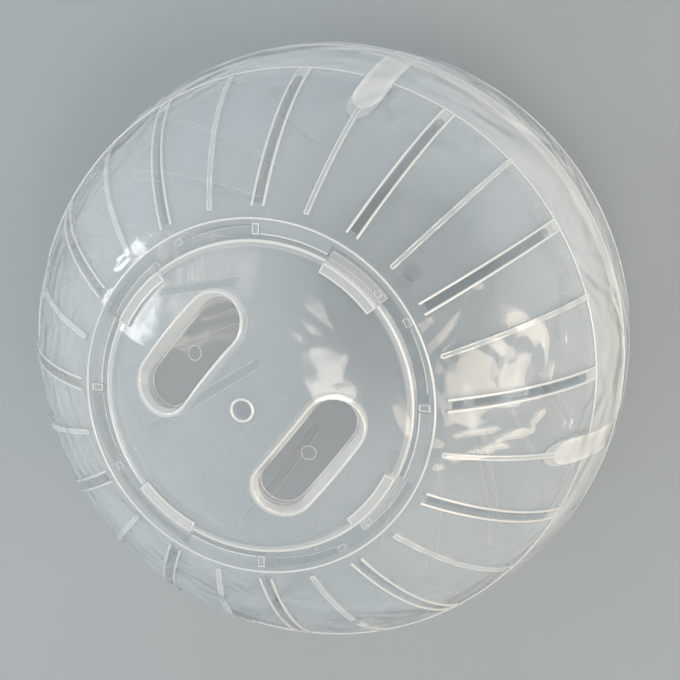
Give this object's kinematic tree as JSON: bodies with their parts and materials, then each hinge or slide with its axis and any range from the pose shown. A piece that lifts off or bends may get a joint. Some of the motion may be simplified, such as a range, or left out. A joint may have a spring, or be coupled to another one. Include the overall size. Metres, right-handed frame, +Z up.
{
  "type": "hamster ball",
  "caption": "Clear plastic exercise ball for a small pet: two slotted half shells that plug together at a belt, and a round bayonet door with finger pockets.",
  "frame": {"origin": "centre of the flat foot on the lower half, where the ball stands", "axes": "+Z up along the door axis, through both pivot holes; +X through an air slot"},
  "size_m": [0.1412, 0.1412, 0.1355],
  "materials": {
    "polypropylene": "clear milky moulded polypropylene, glossy and slightly wavy"
  },
  "bodies": {
    "rear": {"rear_half": "polypropylene"},
    "front": {"front_half": "polypropylene"},
    "door": {"door": "polypropylene"}
  },
  "joints": [
    {"name": "halves_part", "type": "slide", "parent": "rear", "child": "front", "axis": [0, 0, 1], "range_m": [0, 0.045]},
    {"name": "door_turn", "type": "hinge", "parent": "front", "child": "door", "pos_m": [0, 0, 0.13506], "axis": [0, 0, 1], "range_deg": [-5, 24]}
  ]
}
